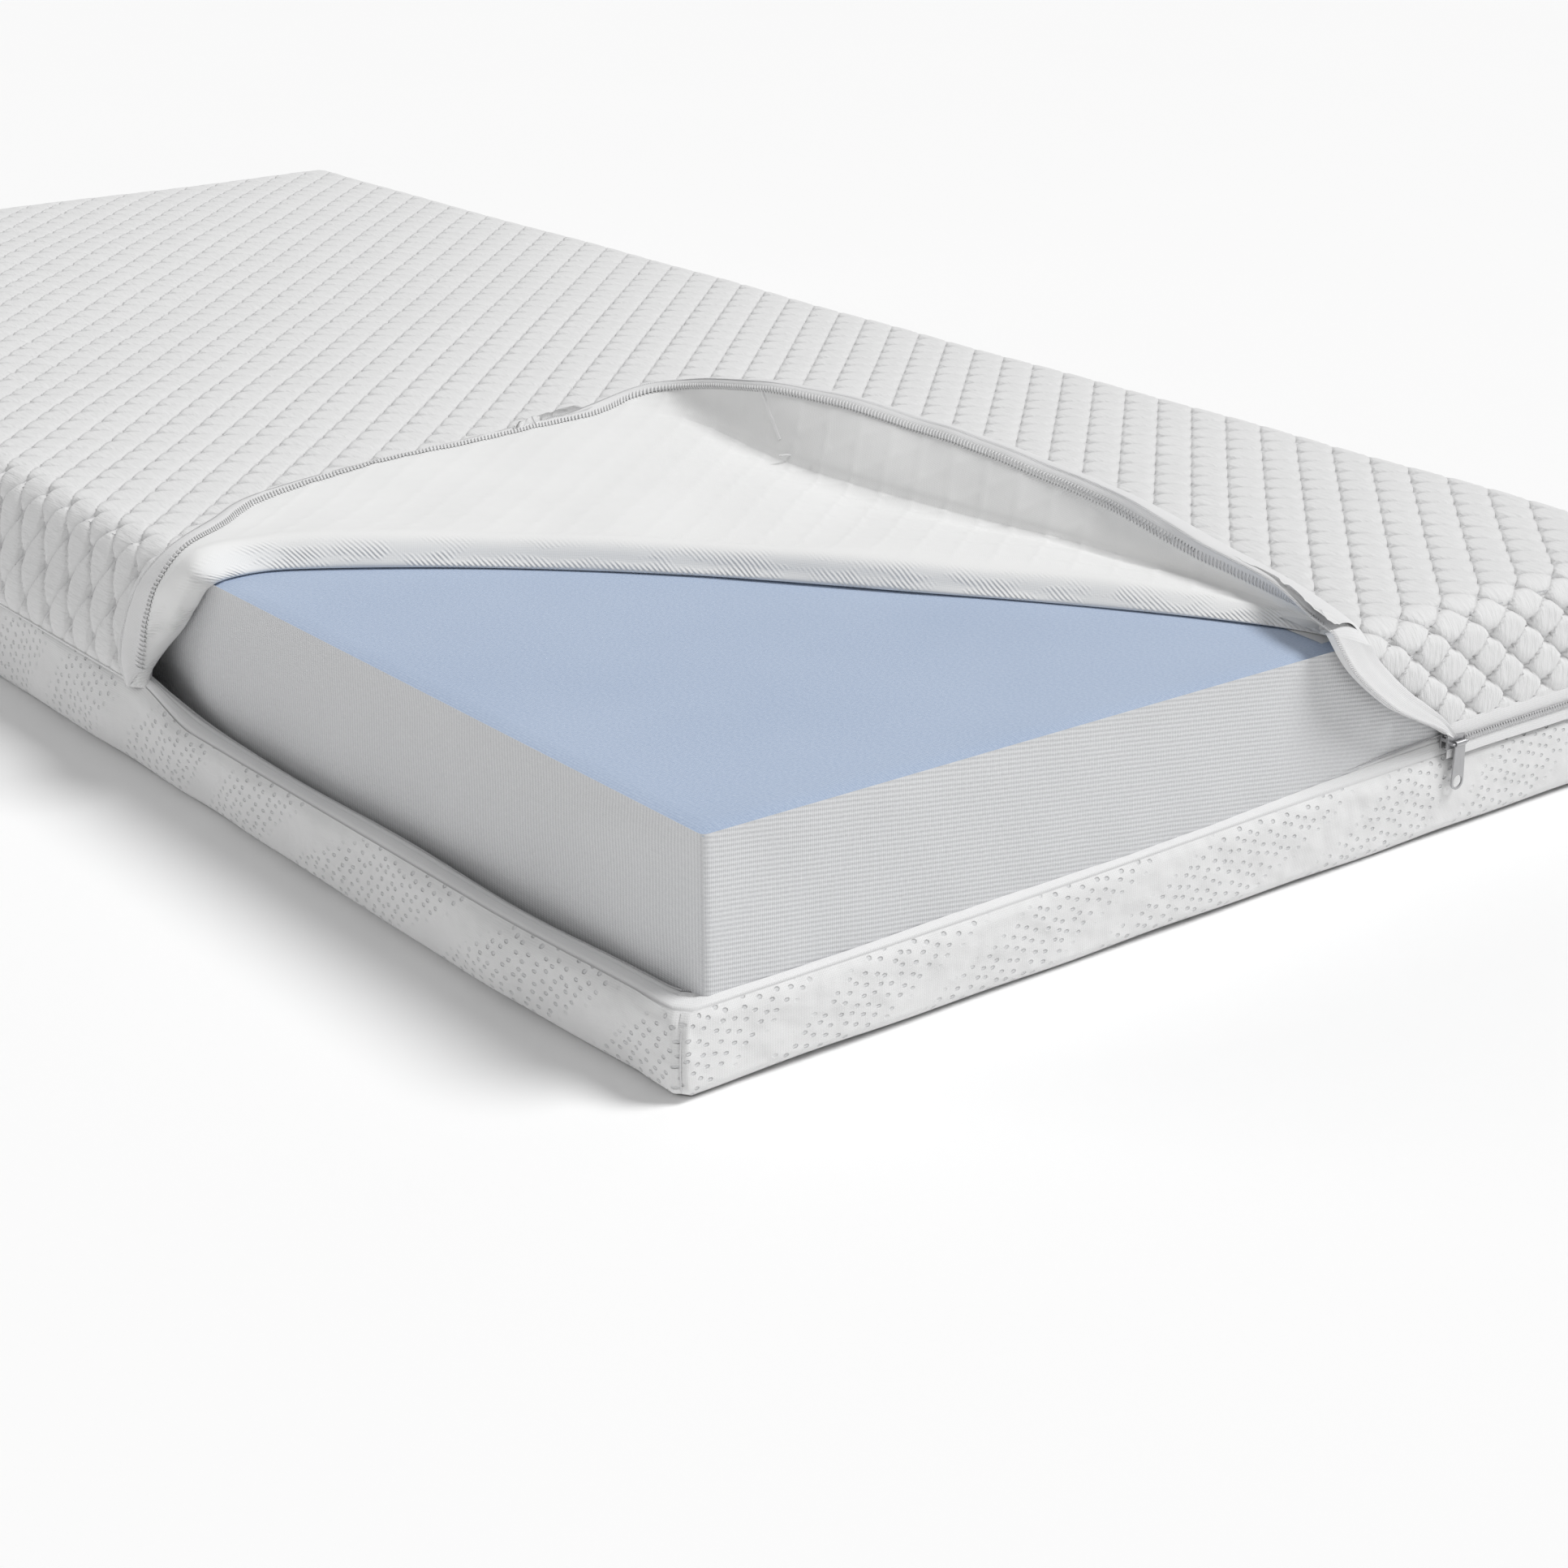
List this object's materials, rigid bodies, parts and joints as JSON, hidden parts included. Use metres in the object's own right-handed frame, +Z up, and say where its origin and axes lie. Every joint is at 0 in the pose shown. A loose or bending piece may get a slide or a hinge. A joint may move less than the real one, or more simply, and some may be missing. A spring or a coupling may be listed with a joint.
{
  "type": "pressure relief mattress",
  "caption": "Foam pressure relief mattress with a knitted inner liner and a zip-off quilted cover, one corner unzipped and turned back over the bed.",
  "frame": {"origin": "centre of the mattress's underside, on the bed deck", "axes": "+X along the bed to the foot end, +Y across it to the far long side, +Z up"},
  "size_m": [2.008, 0.903, 0.2154],
  "materials": {
    "foam_base": "open-cell foam",
    "foam_memory": "visco-elastic foam",
    "liner_blue": "brushed jersey knit",
    "liner_grey": "fine rib knit",
    "border_knit": "dotted jacquard knit",
    "quilt_knit": "quilted double knit",
    "lining_cloth": "smooth backing cloth",
    "zip_tape": "woven tape",
    "zip_coil": "nylon coil",
    "seam_thread": "overlock thread",
    "zip_metal": "satin grey lacquer"
  },
  "bodies": {
    "root": {"base_foam": "foam_base", "memory_foam": "foam_memory", "liner_top": "liner_blue", "liner_bottom": "liner_grey", "liner_border": "liner_grey", "bottom_panel": "border_knit", "border_left": "border_knit", "border_right": "border_knit", "border_foot": "border_knit", "border_head": "border_knit", "border_corner_seams": "seam_thread", "lower_zip_tape": "zip_tape", "upper_zip_tape": "zip_tape", "zip_chain": "zip_coil", "open_zip_coil": "zip_coil", "closing_seam": "seam_thread", "zip_end_stops": "zip_coil", "cover_corner_seams": "seam_thread", "top_cover": "quilt_knit", "cover_lining": "lining_cloth"},
    "flap": {"cover_flap": "quilt_knit", "flap_lining": "lining_cloth", "flap_zip_tape": "zip_tape", "flap_zip_coil": "zip_coil", "flap_corner_seam": "seam_thread"},
    "slider": {"slider_body": "zip_metal", "slider_bridge": "zip_metal"},
    "pull": {"pull_tab": "zip_metal"}
  },
  "joints": [
    {"name": "cover_flap", "type": "hinge", "parent": "root", "child": "flap", "pos_m": [0.405, -0.45, 0.167], "axis": [0.7436, 0.6686, 0], "range_deg": [0, 80]},
    {"name": "zip_slide", "type": "slide", "parent": "root", "child": "slider", "axis": [0, -1, 0], "range_m": [0, 0.6]},
    {"name": "pull_tab", "type": "hinge", "parent": "slider", "child": "pull", "pos_m": [1.006, 0.187, 0.069], "axis": [0, -1, 0], "range_deg": [0, 150]}
  ]
}
